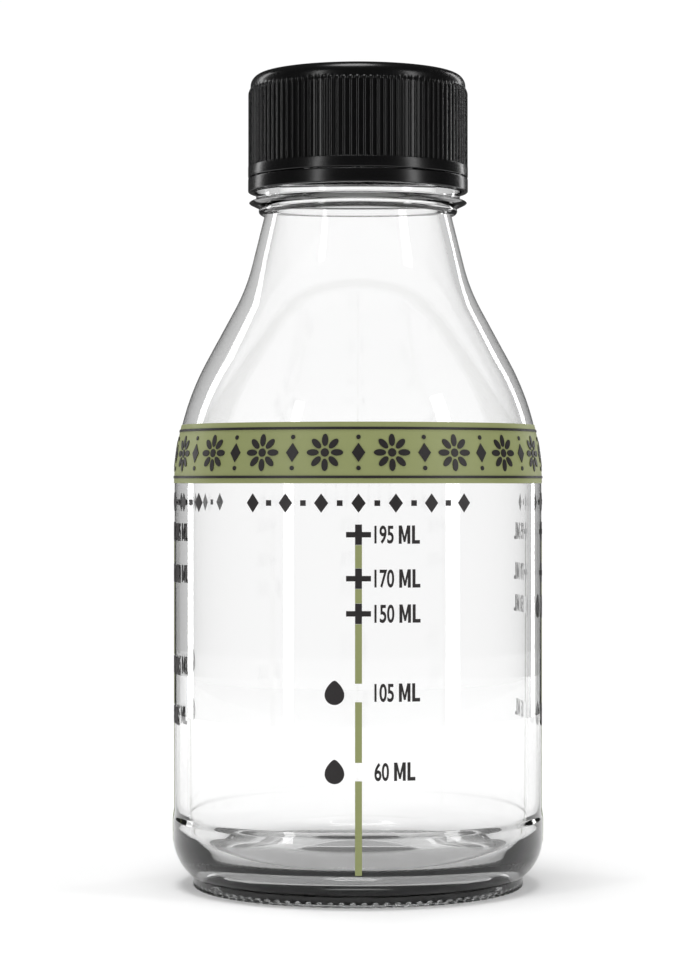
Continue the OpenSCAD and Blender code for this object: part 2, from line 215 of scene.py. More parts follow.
class Glass:
    """The outline of the glass, worked out from its settings."""

    # The neck finish, from the lip down: heights of its parts and of the spaces between them
    LIP_R = 0.55 * MM
    ABOVE_THREAD = 2.9 * MM
    THREAD_TURNS = 1.5
    BELOW_THREAD = 5.9 * MM
    BEAD_H = 1.4 * MM
    RECESS_H = 2.4 * MM
    COLLAR_H = 2.2 * MM
    TRANSFER_H = 1.2 * MM
    LOWER_BEAD_H = 1.5 * MM
    # How far its parts stand out: the transfer ring from the collar, the others from the wall
    BEAD_OUT = 1.55 * MM
    COLLAR_OUT = 1.65 * MM
    TRANSFER_OUT = 1.3 * MM
    LOWER_BEAD_OUT = 1.15 * MM
    # Height over which the contact band runs out into the label panel
    EASE = 1 * MM
    # Space between the rows of points on a threaded wall and on the knurls
    ROW = 0.25 * MM

    def __init__(self, s):
        self.s = s
        # Heights and radii of the neck finish
        self.lip_z = LIP_Z
        self.thread_low_z = self.lip_z - self.ABOVE_THREAD - self.THREAD_TURNS * s.thread_pitch
        self.bead_top_z = self.thread_low_z - self.BELOW_THREAD
        self.bead_low_z = self.bead_top_z - self.BEAD_H
        self.collar_top_z = self.bead_low_z - self.RECESS_H
        self.collar_low_z = self.collar_top_z - self.COLLAR_H
        self.transfer_low_z = self.collar_low_z - self.TRANSFER_H
        self.neck_z = self.transfer_low_z - self.LOWER_BEAD_H
        self.bead_r = s.finish_r + self.BEAD_OUT
        self.collar_r = s.finish_r + self.COLLAR_OUT
        self.transfer_r = self.collar_r + self.TRANSFER_OUT
        self.lower_bead_r = s.finish_r + self.LOWER_BEAD_OUT
        # Heel and foot
        self.contact_r = GLASS_R
        self.foot_r = self.contact_r - s.foot_inset
        self.knurl_r = self.foot_r - s.knurl_depth
        self.bearing_r = self.knurl_r - s.bearing_w
        self.heel_x = self.contact_r - s.heel_r
        self.foot_angle = -math.acos((self.foot_r - self.heel_x) / s.heel_r)
        self.heel_z = s.foot_h - s.heel_r * math.sin(self.foot_angle)
        self.contact_top_z = self.heel_z + s.contact_h
        self.inner_r = s.body_r - s.wall
        self.inner_heel_r = s.heel_r - s.wall
        self.inner_heel_x = self.inner_r - self.inner_heel_r
        # The straight run above the shoulder, and the centre of the hollow curve after it
        a, b = s.shoulder_lean, s.neck_lean
        rise = self.neck_z - s.shoulder_z - s.shoulder_r * math.sin(a)
        rise -= s.neck_curve_r * (math.sin(a) - math.sin(b))
        narrowing = s.body_r - s.finish_r - s.shoulder_r * (1 - math.cos(a))
        narrowing -= s.neck_curve_r * (math.cos(b) - math.cos(a))
        run = (narrowing * math.cos(b) - rise * math.sin(b)) / math.sin(a - b)
        run_x = s.body_r - s.shoulder_r * (1 - math.cos(a)) - run * math.sin(a)
        run_z = s.shoulder_z + s.shoulder_r * math.sin(a) + run * math.cos(a)
        self.shoulder_x = s.body_r - s.shoulder_r
        self.curve_x = run_x + s.neck_curve_r * math.cos(a)
        self.curve_z = run_z + s.neck_curve_r * math.sin(a)

    def wall_path(self, inwards):
        """The wall from the label panel to the neck."""
        s = self.s
        start, end = math.pi + s.shoulder_lean, math.pi + s.neck_lean
        return [
            *arc(self.shoulder_x, s.shoulder_z, s.shoulder_r - inwards, 0, s.shoulder_lean, 16),
            *arc(self.curve_x, self.curve_z, s.neck_curve_r + inwards, start, end),
            (s.finish_r - inwards / math.cos(s.neck_lean), self.neck_z),
        ]

    def heel_path(self):
        """The heel, from the foot ring to the label panel."""
        s = self.s
        return [
            *arc(self.heel_x, self.heel_z, s.heel_r, self.foot_angle, 0, 18),
            (self.contact_r, self.contact_top_z - self.EASE),
            (self.contact_r - 0.06 * MM, self.contact_top_z - 0.6 * self.EASE),
            (s.body_r + 0.03 * MM, self.contact_top_z - 0.2 * self.EASE),
            (s.body_r, self.contact_top_z + 0.2 * self.EASE),
        ]

    def floor_path(self):
        """The inside floor, from the axis out to the wall."""
        s = self.s
        heel_r, count = self.inner_heel_r, 14
        rises = [s.floor_rise * (1 + math.cos(math.pi * i / count)) / 2 for i in range(count + 1)]
        dome = [(self.inner_heel_x * i / count, s.floor_z + rise) for i, rise in enumerate(rises)]
        heel = arc(self.inner_heel_x, s.floor_z + heel_r, heel_r, -RIGHT_ANGLE, 0)
        return dome + heel[1:]

    def punt_path(self):
        """The hollow under the base, from the axis out to the bearing face."""
        rise = self.s.punt_rise
        r = (self.bearing_r**2 + rise**2) / (2 * rise)
        return arc(0, rise - r, r, RIGHT_ANGLE, RIGHT_ANGLE - math.asin(self.bearing_r / r))

    def foot_path(self):
        """The foot ring's underside and outside, with its edges eased."""
        ease_r = 0.2 * MM
        knurl_low, knurl_top = 0.3 * MM, 0.8 * MM
        return [
            (self.bearing_r + ease_r, 0),
            *arc(self.foot_r - ease_r, ease_r, ease_r, -RIGHT_ANGLE, 0, 3),
            *ladder(self.foot_r, knurl_low, knurl_top, self.ROW),
            (self.foot_r, knurl_top + 0.4 * MM),
            (self.foot_r, self.s.foot_h - 0.25 * MM),
        ]

    def finish_path(self):
        """The neck finish, from the neck up to the lip."""
        s = self.s
        half = (self.transfer_low_z - self.neck_z) / 2
        round_r = 0.35 * MM
        transfer_h = self.collar_low_z - self.transfer_low_z
        nose_r = self.transfer_r - 0.15 * MM
        lower = arc(self.lower_bead_r - half, self.neck_z + half, half, -RIGHT_ANGLE, RIGHT_ANGLE)
        transfer = [
            (self.collar_r, self.transfer_low_z + 0.05 * MM),
            (nose_r, self.transfer_low_z + 0.5 * transfer_h),
            (self.transfer_r, self.transfer_low_z + 0.62 * transfer_h),
            (nose_r, self.transfer_low_z + 0.74 * transfer_h),
            (self.collar_r + 0.1 * MM, self.collar_low_z),
            (self.collar_r, self.collar_low_z + 0.2 * MM),
        ]
        collar = arc(self.collar_r - round_r, self.collar_top_z - round_r, round_r, 0, RIGHT_ANGLE, 5)
        recess = [
            (s.finish_r + round_r, self.collar_top_z),
            (s.finish_r, self.collar_top_z + round_r),
            (s.finish_r, self.bead_low_z - round_r),
            (s.finish_r + round_r, self.bead_low_z),
        ]
        bead = arc(self.bead_r - round_r, self.bead_low_z + round_r, round_r, -RIGHT_ANGLE, 0, 5)
        above = [
            (self.bead_r, (self.bead_low_z + self.bead_top_z) / 2),
            (s.finish_r + round_r, self.bead_top_z),
        ]
        threads = ladder(s.finish_r, self.bead_top_z + round_r, self.lip_z - self.LIP_R, self.ROW)
        lip = arc(s.finish_r - self.LIP_R, self.lip_z - self.LIP_R, self.LIP_R, 0, RIGHT_ANGLE, 6)
        return lower + transfer + collar + recess + bead + above + threads + lip[1:]

    def mouth_path(self):
        """The mouth, from the lip down to the neck."""
        s = self.s
        lip = arc(s.bore_r + self.LIP_R, self.lip_z - self.LIP_R, self.LIP_R, RIGHT_ANGLE, math.pi, 6)
        return lip + [(s.bore_r, self.collar_top_z), (s.bore_r, self.collar_low_z)]

    def outline(self):
        """The whole outline, outside from the axis up, inside back down."""
        s = self.s
        panel = ladder(s.body_r, self.contact_top_z + 2 * MM, s.shoulder_z - 1 * MM, 12 * MM)
        return (
            self.punt_path()
            + self.foot_path()
            + self.heel_path()
            + panel
            + self.wall_path(0)
            + self.finish_path()
            + self.mouth_path()
            + self.wall_path(s.wall)[::-1]
            + self.floor_path()[::-1]
        )

    def skin_r(self, z):
        """Outside radius of the body at a height, from the heel to the shoulder."""
        s = self.s
        if z < self.heel_z:
            return self.heel_x + math.sqrt(max(0, s.heel_r**2 - (self.heel_z - z) ** 2))
        if z < self.contact_top_z - self.EASE:
            return self.contact_r
        if z < self.contact_top_z:
            return s.body_r + (self.contact_r - s.body_r) * (self.contact_top_z - z) / self.EASE
        if z < s.shoulder_z:
            return s.body_r
        return self.shoulder_x + math.sqrt(s.shoulder_r**2 - (z - s.shoulder_z) ** 2)

    def fill_z(self, ml):
        """Height to which a volume in millilitres fills the straight part of the body."""
        path = self.floor_path()
        cones = (
            math.pi / 3 * (z2 - z1) * (r1 * r1 + r1 * r2 + r2 * r2)
            for (r1, z1), (r2, z2) in zip(path, path[1:])
        )
        ml_in_cubic_metre = 1e6
        return path[-1][1] + (ml / ml_in_cubic_metre - sum(cones)) / (math.pi * self.inner_r**2)


# Shaping


def smooth(share):
    """Eases a share from 0 to 1."""
    share = min(1, max(0, share))
    return share * share * (3 - 2 * share)


def turn(outline, steps, closed=False):
    """A bmesh turned about the axis from an outline: one sector, then its copies."""
    bm = bmesh.new()
    verts = [bm.verts.new((max(0, x), 0, z)) for x, z in outline]
    edges = [bm.edges.new(pair) for pair in zip(verts, verts[1:])]
    if closed:
        edges.append(bm.edges.new((verts[-1], verts[0])))
    most_sectors, seam = 39, 0.001 * MM
    sectors = max(n for n in range(1, most_sectors + 1) if steps % n == 0)
    axis = {"cent": (0, 0, 0), "axis": (0, 0, 1)}
    bmesh.ops.spin(bm, geom=verts + edges, angle=WHOLE_TURN / sectors, steps=steps // sectors, **axis)
    sector = bm.verts[:] + bm.edges[:] + bm.faces[:]
    around = WHOLE_TURN * (sectors - 1) / sectors
    bmesh.ops.spin(bm, geom=sector, angle=around, steps=sectors - 1, use_duplicate=True, **axis)
    bmesh.ops.remove_doubles(bm, verts=bm.verts, dist=seam)
    bmesh.ops.recalc_face_normals(bm, faces=bm.faces)
    return bm


def thread_share(around, z, low_z, pitch, turns, width):
    """Share of a thread's depth at a place round the axis, from 0 to 1, and a height."""
    # Turns over which an end fades out, and share of half the width that a flank takes
    fade, flank = 0.09, 0.6
    share = 0
    along = around
    while along <= turns:
        away = abs(z - low_z - pitch * along) / (width / 2)
        ends = smooth(min(along, turns - along) / fade)
        share = max(share, smooth((1 - away) / flank) * ends)
        along += 1
    return share


def around_axis(vert, start=0.0):
    """Place of a vertex round the axis from an angle in radians, from 0 to 1."""
    return ((math.atan2(vert.co.y, vert.co.x) - start) / WHOLE_TURN) % 1


def push_out(vert, by):
    """Moves a vertex away from the axis."""
    r = math.hypot(vert.co.x, vert.co.y)
    vert.co.x *= (r + by) / r
    vert.co.y *= (r + by) / r


def add_to(whole, part):
    """Adds one bmesh to another and frees it."""
    keep = bpy.data.meshes.new("part")
    part.to_mesh(keep)
    part.free()
    whole.from_mesh(keep)
    bpy.data.meshes.remove(keep)


def finish_piece(name, bm, body, nodes, material, sharp=35):
    """Makes a piece of a bmesh; edges bent by more than sharp degrees stay sharp."""
    mesh = bpy.data.meshes.new(name)
    bm.to_mesh(mesh)
    bm.free()
    for polygon in mesh.polygons:
        polygon.use_smooth = True
    mesh.set_sharp_from_angle(angle=math.radians(sharp))
    piece = bpy.data.objects.new(name, mesh)
    bpy.context.scene.collection.objects.link(piece)
    mesh.materials.append(material)
    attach(piece, body)
    if nodes:
        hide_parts(*nodes)


# Materials


class Nodes:
    """A new material with its shader, and short ways to add nodes to it."""

    def __init__(self, name):
        self.material = bpy.data.materials.new(name)
        self.material.use_nodes = True
        self.tree = self.material.node_tree
        self.shader = self.tree.nodes["Principled BSDF"]
        self.output = self.tree.nodes["Material Output"]

    def add(self, kind, **settings):
        """A new node."""
        node = self.tree.nodes.new(kind)
        for key, value in settings.items():
            setattr(node, key, value)
        return node

    def link(self, source, target):
        """Joins two sockets."""
        self.tree.links.new(source, target)

    def noise(self, scale, detail, roughness=0.5, stretch=(1, 1, 1)):
        """Noise on the object's own coordinates."""
        place = self.add("ShaderNodeTexCoord")
        mapping = self.add("ShaderNodeMapping")
        mapping.inputs["Scale"].default_value = stretch
        noise = self.add("ShaderNodeTexNoise")
        noise.inputs["Scale"].default_value = scale
        noise.inputs["Detail"].default_value = detail
        noise.inputs["Roughness"].default_value = roughness
        self.link(place.outputs["Object"], mapping.inputs["Vector"])
        self.link(mapping.outputs["Vector"], noise.inputs["Vector"])
        return noise.outputs["Fac"]

    def between(self, factor, low, high):
        """Maps a factor onto a range."""
        node = self.add("ShaderNodeMapRange")
        node.inputs["To Min"].default_value = low
        node.inputs["To Max"].default_value = high
        self.link(factor, node.inputs["Value"])
        return node.outputs["Result"]

    def mix(self, factor, a, b):
        """Mixes two colours."""
        node = self.add("ShaderNodeMix", data_type="RGBA")
        self.link(factor, node.inputs["Factor"])
        node.inputs["A"].default_value = (*a, 1)
        node.inputs["B"].default_value = (*b, 1)
        return node.outputs["Result"]

    def bump(self, height, distance, strength):
        """Bump from a height between 0 and 1, its distance in metres."""
        node = self.add("ShaderNodeBump")
        node.inputs["Strength"].default_value = strength
        node.inputs["Distance"].default_value = distance
        self.link(height, node.inputs["Height"])
        self.link(node.outputs["Normal"], self.shader.inputs["Normal"])


def shade(rgb, factor):
    """A colour made lighter or darker."""
    return tuple(min(1, channel * factor) for channel in rgb)


def clear_glass(name, s):
    """Clear glass with the slow waves of a blown wall, which greys what it lets through."""
    n = Nodes(name)
    n.shader.inputs["Base Color"].default_value = (1, 1, 1, 1)
    n.shader.inputs["Roughness"].default_value = 0.0
    n.shader.inputs["IOR"].default_value = 1.51
    n.shader.inputs["Transmission Weight"].default_value = 1
    waves = n.noise(26, detail=1.5, stretch=(1, 1, 0.45))
    n.bump(waves, 0.12 * MM, 0.35)
    absorb = n.add("ShaderNodeVolumeAbsorption")
    absorb.inputs["Color"].default_value = (*s.tint, 1)
    absorb.inputs["Density"].default_value = s.density
    n.link(absorb.outputs["Volume"], n.output.inputs["Volume"])
    return n.material


def black_plastic(name, s):
    """Satin black plastic with a fine moulded grain, cloudy and uneven in sheen."""
    n = Nodes(name)
    cloudy = n.noise(120, detail=3)
    n.link(n.mix(cloudy, shade(s.black, 0.8), shade(s.black, 1.3)), n.shader.inputs["Base Color"])
    n.link(n.between(n.noise(900, detail=4), 0.2, 0.28), n.shader.inputs["Roughness"])
    n.shader.inputs["Specular IOR Level"].default_value = 0.35
    n.bump(n.noise(4200, detail=3), 0.006 * MM, 0.35)
    return n.material


def liner_foam(name, s):
    """Matt foamed plastic with small cells."""
    n = Nodes(name)
    cells = n.noise(2600, detail=3)
    n.link(n.mix(cells, shade(s.liner, 0.9), s.liner), n.shader.inputs["Base Color"])
    n.shader.inputs["Roughness"].default_value = 0.75
    n.bump(cells, 0.05 * MM, 0.4)
    return n.material


def fired_ink(name, rgb, spread):
    """Screen-printed enamel, a little uneven in cover and sheen."""
    n = Nodes(name)
    cover = n.noise(60, detail=4, roughness=0.6)
    n.link(n.mix(cover, shade(rgb, 1 - spread), shade(rgb, 1 + spread)), n.shader.inputs["Base Color"])
    n.link(n.between(n.noise(700, detail=3), 0.42, 0.6), n.shader.inputs["Roughness"])
    n.bump(n.noise(1800, detail=2), 0.02 * MM, 0.3)
    return n.material


def material(name, make, *values):
    """A material by name, made the first time."""
    return bpy.data.materials.get(name) or make(name, *values)


def green_ink(s):
    """The green enamel."""
    return material("green_look", fired_ink, s.green, 0.07)


def dark_ink(s):
    """The dark enamel, nearly black."""
    return material("dark_look", fired_ink, s.dark, 0.1)


# Print


class Plates:
    """Flat shapes that are laid on the outside of the glass as films of ink."""

    def __init__(self, glass, prints, layer=1):
        self.glass = glass
        self.low = prints.skin + (layer - 1) * (prints.ink + prints.skin)
        self.ink = prints.ink
        self.whole = bmesh.new()

    def lay(self, flat, angle, z):
        """Thickens a flat bmesh and wraps it on the glass, at an angle in degrees and a height."""
        step = 1 * MM
        xs = [v.co.x for v in flat.verts]
        count = int((max(xs) - min(xs)) / step)
        for i in range(1, count + 1):
            flat_geom = flat.verts[:] + flat.edges[:] + flat.faces[:]
            cut = (min(xs) + i * step, 0, 0)
            bmesh.ops.bisect_plane(flat, geom=flat_geom, plane_co=cut, plane_no=(1, 0, 0))
        base = flat.faces[:]
        grown = bmesh.ops.extrude_face_region(flat, geom=base)["geom"]
        tops = [g for g in grown if isinstance(g, bmesh.types.BMVert)]
        for v in flat.verts:
            v.co.z = 0
        for v in tops:
            v.co.z = self.ink
        bmesh.ops.recalc_face_normals(flat, faces=flat.faces)
        for v in flat.verts:
            x, y, up = v.co
            r = self.glass.skin_r(z + y) + self.low + up
            turned = math.radians(angle) + x / self.glass.s.body_r
            v.co = (r * math.cos(turned), r * math.sin(turned), z + y)
        add_to(self.whole, flat)

    def ring(self, low_z, high_z, steps=192):
        """Lays a ring of ink between two heights."""
        count = max(2, round((high_z - low_z) / MM))
        zs = [low_z + (high_z - low_z) * i / count for i in range(count + 1)]
        outline = [(self.glass.skin_r(z) + self.low, z) for z in zs]
        outline += [(self.glass.skin_r(z) + self.low + self.ink, z) for z in zs[::-1]]
        add_to(self.whole, turn(outline, steps, closed=True))


def disc(w, h, y=0.0, turned=0.0, segments=24):
    """A flat oval above the origin, turned about it by an angle in radians."""
    bm = bmesh.new()
    bmesh.ops.create_circle(bm, cap_ends=True, segments=segments, radius=0.5)
    bmesh.ops.scale(bm, vec=(w, h, 1), verts=bm.verts)
    bmesh.ops.translate(bm, vec=(0, y, 0), verts=bm.verts)
    bmesh.ops.rotate(bm, cent=(0, 0, 0), matrix=Matrix.Rotation(turned, 3, "Z"), verts=bm.verts)
    return bm


def lozenge(w, h):
    """A flat upright lozenge."""
    return disc(w, h, segments=4)


def oblong(w, h):
    """A flat rectangle."""
    bm = bmesh.new()
    bmesh.ops.create_grid(bm, x_segments=1, y_segments=1, size=0.5)
    bmesh.ops.scale(bm, vec=(w, h, 1), verts=bm.verts)
    return bm


def cross(w, h, bar, stem):
    """A flat cross as one face: the stem, with an arm drawn out of each side."""
    bm = oblong(stem, bar)
    outer = {"x": w / 2, "y": h / 2}
    for edge in list(bm.edges):
        middle = (edge.verts[0].co + edge.verts[1].co) / 2
        axis = "x" if abs(middle.x) > abs(middle.y) else "y"
        arm = bmesh.ops.extrude_edge_only(bm, edges=[edge])["geom"]
        for v in (g for g in arm if isinstance(g, bmesh.types.BMVert)):
            setattr(v.co, axis, math.copysign(outer[axis], getattr(middle, axis)))
    return bm


def drop(w, h, x):
    """A flat drop, round below and drawn to a blunt point above."""
    bm = bmesh.new()
    bmesh.ops.create_circle(bm, cap_ends=True, segments=48, radius=w / 2)
    tip, narrowing = h - w / 2, 0.42
    for v in bm.verts:
        if v.co.y > 0:
            share = v.co.y / (w / 2)
            v.co.x *= 1 - narrowing * share * share
            v.co.y = tip * share
    bmesh.ops.translate(bm, vec=(x, w / 2 - h / 2, 0), verts=bm.verts)
    return bm


def numerals(text):
    """Flat numerals from Blender's own font, made heavier; its unit is the size of a letter."""
    weight, seam = 0.022, 1e-5
    curve = bpy.data.curves.new("digits", "FONT")
    curve.body = text
    curve.offset = weight
    curve.resolution_u = 5
    writing = bpy.data.objects.new("digits", curve)
    bpy.context.scene.collection.objects.link(writing)
    bpy.context.view_layer.update()
    shown = writing.evaluated_get(bpy.context.evaluated_depsgraph_get())
    mesh = bpy.data.meshes.new_from_object(shown)
    bm = bmesh.new()
    bm.from_mesh(mesh)
    bpy.data.objects.remove(writing)
    bpy.data.curves.remove(curve)
    bpy.data.meshes.remove(mesh)
    bmesh.ops.remove_doubles(bm, verts=bm.verts, dist=seam)
    return bm


def amount(text, height, x):
    """A number and the letters of its unit, flat, from x to the right, centred on their height."""
    bm = numerals(text)
    low_x, low_y = min(v.co.x for v in bm.verts), min(v.co.y for v in bm.verts)
    high_y = max(v.co.y for v in bm.verts)
    scale = height / (high_y - low_y)
    # Shares of the height between the number and its unit, and between two letters
    space, tight = 0.28, 0.1
    bmesh.ops.translate(bm, vec=(-low_x, -(low_y + high_y) / 2, 0), verts=bm.verts)
    bmesh.ops.scale(bm, vec=(scale * NARROW, scale, 1), verts=bm.verts)
    bmesh.ops.translate(bm, vec=(x, 0, 0), verts=bm.verts)
    end = max(v.co.x for v in bm.verts) + space * height
    for outline in UNIT:
        corners = [bm.verts.new((end + height * NARROW * u, height * (v - 0.5), 0)) for u, v in outline]
        bm.faces.new(corners)
        end += height * (NARROW * max(u for u, _ in outline) + tight)
    return bm


# Operators


class BOTTLE_OT_glass(bpy.types.Operator):
    """Turns the glass, and raises its thread and the knurls of its foot"""

    bl_idname = "bottle.glass"
    bl_label = "Glass Bottle"

    def execute(self, context):
        s = context.scene.shaker_glass
        glass = Glass(s)
        bm = turn(glass.outline(), 4 * s.knurls)
        middle_r = (s.finish_r + s.bore_r) / 2
        knurl_top, knurl_fade = 0.9 * MM, 0.3 * MM
        thread = (glass.thread_low_z, s.thread_pitch, glass.THREAD_TURNS, s.thread_w)
        for v in bm.verts:
            r = math.hypot(v.co.x, v.co.y)
            if v.co.z > glass.bead_top_z and middle_r < r:
                push_out(v, thread_share(around_axis(v), v.co.z, *thread) * s.thread_depth)
            elif v.co.z < knurl_top and r > glass.knurl_r:
                cut = (1 - math.cos(around_axis(v) * s.knurls * 2 * math.pi)) / 2
                push_out(v, -(r - glass.knurl_r) * cut * smooth((knurl_top - v.co.z) / knurl_fade))
        look = material("glass_look", clear_glass, s)
        finish_piece("glass_body", bm, "bottle", ["glass_body", "glass_finish"], look)
        return {"FINISHED"}


class BOTTLE_OT_cap(bpy.types.Operator):
    """Turns the cap with its ribs outside and its thread inside"""

    bl_idname = "bottle.cap"
    bl_label = "Cap"

    def execute(self, context):
        s = context.scene.shaker_cap
        g = context.scene.shaker_glass
        glass = Glass(g)
        cap_r = CAP_HIGH.x
        top_z, rim_z, plate_z = CAP_HIGH.z, CAP_LOW.z, LINER_HIGH.z
        root_r = cap_r - s.rib_depth
        bore_r = g.finish_r + g.thread_depth + GAP
        skirt_r = glass.bead_r + GAP
        rib_low_z = rim_z + s.plain_h
        rib_top_z = top_z - s.round_r - 0.5 * MM
        rib_round = 0.9 * MM
        edge, ledge = 0.25 * MM, 0.15 * MM
        near = 0.02 * MM
        # Inside, from the plate down: the liner's space, the bead that holds it, the thread and the skirt
        holder_r = bore_r - 0.5 * MM
        inside = [
            (0, plate_z),
            (bore_r - 0.3 * MM, plate_z),
            (bore_r, plate_z - 0.2 * MM),
            (bore_r, glass.lip_z - 0.1 * MM),
            (holder_r, glass.lip_z - 0.3 * MM),
            (holder_r, glass.lip_z - 0.5 * MM),
            (bore_r, glass.lip_z - 0.9 * MM),
        ]
        inside += ladder(bore_r, glass.lip_z - 1.2 * MM, glass.bead_top_z + 0.8 * MM, glass.ROW)
        inside += [
            (skirt_r, glass.bead_top_z + 0.2 * MM),
            (skirt_r, rim_z + ledge),
            (skirt_r + ledge, rim_z),
        ]
        # Outside, from the rim up: the plain band, the wall between the ribs and the round edge of the top
        outside = arc(cap_r - edge, rim_z + edge, edge, -RIGHT_ANGLE, 0, 4)
        outside += arc(cap_r - ledge, rib_low_z - ledge, ledge, 0, RIGHT_ANGLE, 3)
        outside += [(root_r, rib_low_z)]
        outside += ladder(root_r, rib_low_z + near, rib_top_z - 1 * MM, 3 * MM)
        outside += ladder(root_r, rib_top_z - rib_round, rib_top_z, 0.1 * MM)
        outside += arc(root_r - s.round_r, top_z - s.round_r, s.round_r, 0, RIGHT_ANGLE)
        top = [(root_r - s.round_r - 0.6 * MM, top_z - 0.01 * MM), (root_r * 0.5, top_z), (0, top_z)]
        bm = turn(inside + outside + top, 8 * s.ribs)
        # The cap's thread starts a sixth of a turn before the glass's and runs half a pitch under it
        start, behind = -math.pi / 3, 1 / 2 + 1 / 6
        turns, thread_w = 1.25, 1.5 * MM
        thread = (glass.thread_low_z - g.thread_pitch * behind, g.thread_pitch, turns, thread_w)
        # A rib takes three quarters of its share of the round, and each flank 0.22 of it
        rib_middle, flank = 0.375, 0.22
        for v in bm.verts:
            r = math.hypot(v.co.x, v.co.y)
            if rib_low_z + near / 2 < v.co.z < rib_top_z and abs(r - root_r) < near:
                place = (around_axis(v) * s.ribs) % 1
                across = smooth((rib_middle - abs(place - rib_middle)) / flank)
                ends = math.sqrt(min(1, max(0, (rib_top_z - v.co.z) / rib_round)))
                push_out(v, across * ends * (s.rib_depth - 0.03 * MM))
            elif glass.bead_top_z < v.co.z < glass.lip_z - MM and abs(r - bore_r) < near:
                push_out(v, -thread_share(around_axis(v, start), v.co.z, *thread) * g.thread_depth)
        black = material("plastic_look", black_plastic, s)
        finish_piece("cap", bm, "cap", ["cap_shell"], black, sharp=50)
        return {"FINISHED"}


class BOTTLE_OT_liner(bpy.types.Operator):
    """Turns the liner disc, with the ring that the lip has pressed into its face"""

    bl_idname = "bottle.liner"
    bl_label = "Liner"

    def execute(self, context):
        s = context.scene.shaker_cap
        g = context.scene.shaker_glass
        edge, dent = 0.15 * MM, 0.08 * MM
        r, low, high = LINER_HIGH.x, LINER_LOW.z, LINER_HIGH.z
        outline = [
            (0, low),
            (g.bore_r, low),
            (g.bore_r + 0.5 * MM, low + dent),
            (g.finish_r - 0.4 * MM, low + dent),
            (g.finish_r + 0.1 * MM, low),
            *arc(r - edge, low + edge, edge, -RIGHT_ANGLE, 0, 4),
            *arc(r - edge, high - edge, edge, 0, RIGHT_ANGLE, 4),
            (0, high),
        ]
        bm = turn(outline, 128)
        foam = material("foam_look", liner_foam, s)
        finish_piece("liner", bm, "liner", ["cap_liner"], foam)
        return {"FINISHED"}


class BOTTLE_OT_tamper_ring(bpy.types.Operator):
    """Turns the tamper ring, and adds its flaps and the stubs of its bridges"""

    bl_idname = "bottle.tamper_ring"
    bl_label = "Tamper Ring"

    def execute(self, context):
        s = context.scene.shaker_cap
        g = context.scene.shaker_glass
        glass = Glass(g)
        edge = 0.25 * MM
        stub_w, stub_d, stub_h = 0.9 * MM, 0.6 * MM, 0.12 * MM
        r, low, high = RING_HIGH.x, RING_LOW.z, RING_HIGH.z - stub_h
        inner = glass.collar_r + GAP
        outline = [(inner, high - edge / 2), (inner, low + edge / 2), (inner + edge / 2, low)]
        outline += arc(r - edge, low + edge, edge, -RIGHT_ANGLE, 0, 5)
        outline += arc(r - edge, high - edge, edge, 0, RIGHT_ANGLE, 5)
        outline += [(inner + edge / 2, high)]
        bm = turn(outline, 256, closed=True)
        # The flaps reach in by a share of the room before the neck, and go round by a share of the ring
        reach, share = 0.6, 0.85
        flap_t = 0.45 * MM
        flap_low, flap_high = glass.collar_top_z + 0.2 * MM, glass.bead_low_z - GAP
        flap_in = inner - (inner - g.finish_r) * reach
        # Flaps and stubs are sunk into the ring
        sink = 0.3 * MM
        section = [
            (inner + sink, flap_low - sink),
            (inner + sink, flap_low + flap_t),
            (flap_in + flap_t, flap_high),
            (flap_in, flap_high),
            (inner, flap_low),
        ]
        axis = {"cent": (0, 0, 0), "axis": (0, 0, 1)}
        for i in range(s.flaps):
            start = WHOLE_TURN * (i + (1 - share) / 2) / s.flaps
            flap = bmesh.new()
            face = flap.faces.new([flap.verts.new((x, 0, z)) for x, z in section])
            bmesh.ops.rotate(flap, cent=(0, 0, 0), matrix=Matrix.Rotation(start, 3, "Z"), verts=flap.verts)
            geom = [face, *face.verts, *face.edges]
            bmesh.ops.spin(flap, geom=geom, angle=WHOLE_TURN * share / s.flaps, steps=8, **axis)
            bmesh.ops.recalc_face_normals(flap, faces=flap.faces)
            add_to(bm, flap)
        for i in range(s.bridges):
            stub = bmesh.new()
            bmesh.ops.create_cube(stub, size=1)
            bmesh.ops.scale(stub, vec=(stub_d, stub_w, stub_h + sink), verts=stub.verts)
            middle = (inner + sink + stub_d / 2, 0, high + (stub_h - sink) / 2)
            bmesh.ops.translate(stub, vec=middle, verts=stub.verts)
            turned = Matrix.Rotation(WHOLE_TURN * i / s.bridges, 3, "Z")
            bmesh.ops.rotate(stub, cent=(0, 0, 0), matrix=turned, verts=stub.verts)
            add_to(bm, stub)
        black = material("plastic_look", black_plastic, s)
        finish_piece("tamper_band", bm, "ring", ["tamper_ring"], black)
        return {"FINISHED"}


